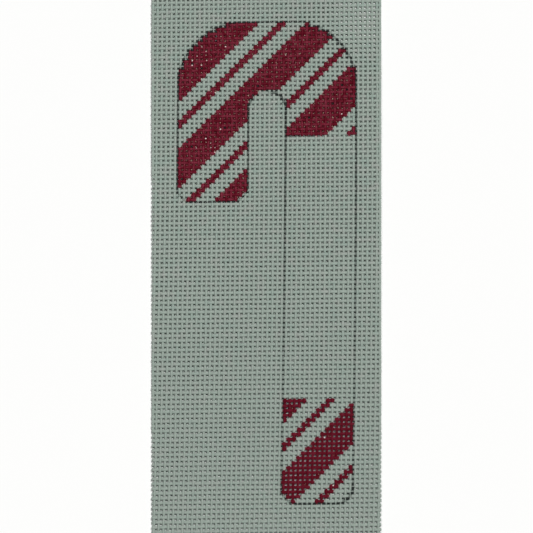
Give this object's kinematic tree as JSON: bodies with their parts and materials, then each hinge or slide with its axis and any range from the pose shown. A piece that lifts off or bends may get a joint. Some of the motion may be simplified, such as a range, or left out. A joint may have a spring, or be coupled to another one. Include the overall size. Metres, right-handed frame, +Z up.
{
  "type": "painted needlepoint canvas",
  "caption": "Flat cut piece of open-weave needlepoint canvas with a striped candy cane outlined and part painted on it, ready to be stitched over.",
  "frame": {"origin": "middle of the underside, on the surface that the canvas lies on", "axes": "+Y up the picture, along the lengthwise threads; +X to the right across the picture; +Z up from the painted side"},
  "size_m": [0.069, 0.1642, 0.0008],
  "materials": {
    "painted_canvas": "stiff sized cotton threads in an open plain weave, matt grey-green, with areas hand painted a deep matt red and a fine black pen line"
  },
  "bodies": {
    "root": {"canvas": "painted_canvas"}
  },
  "joints": []
}
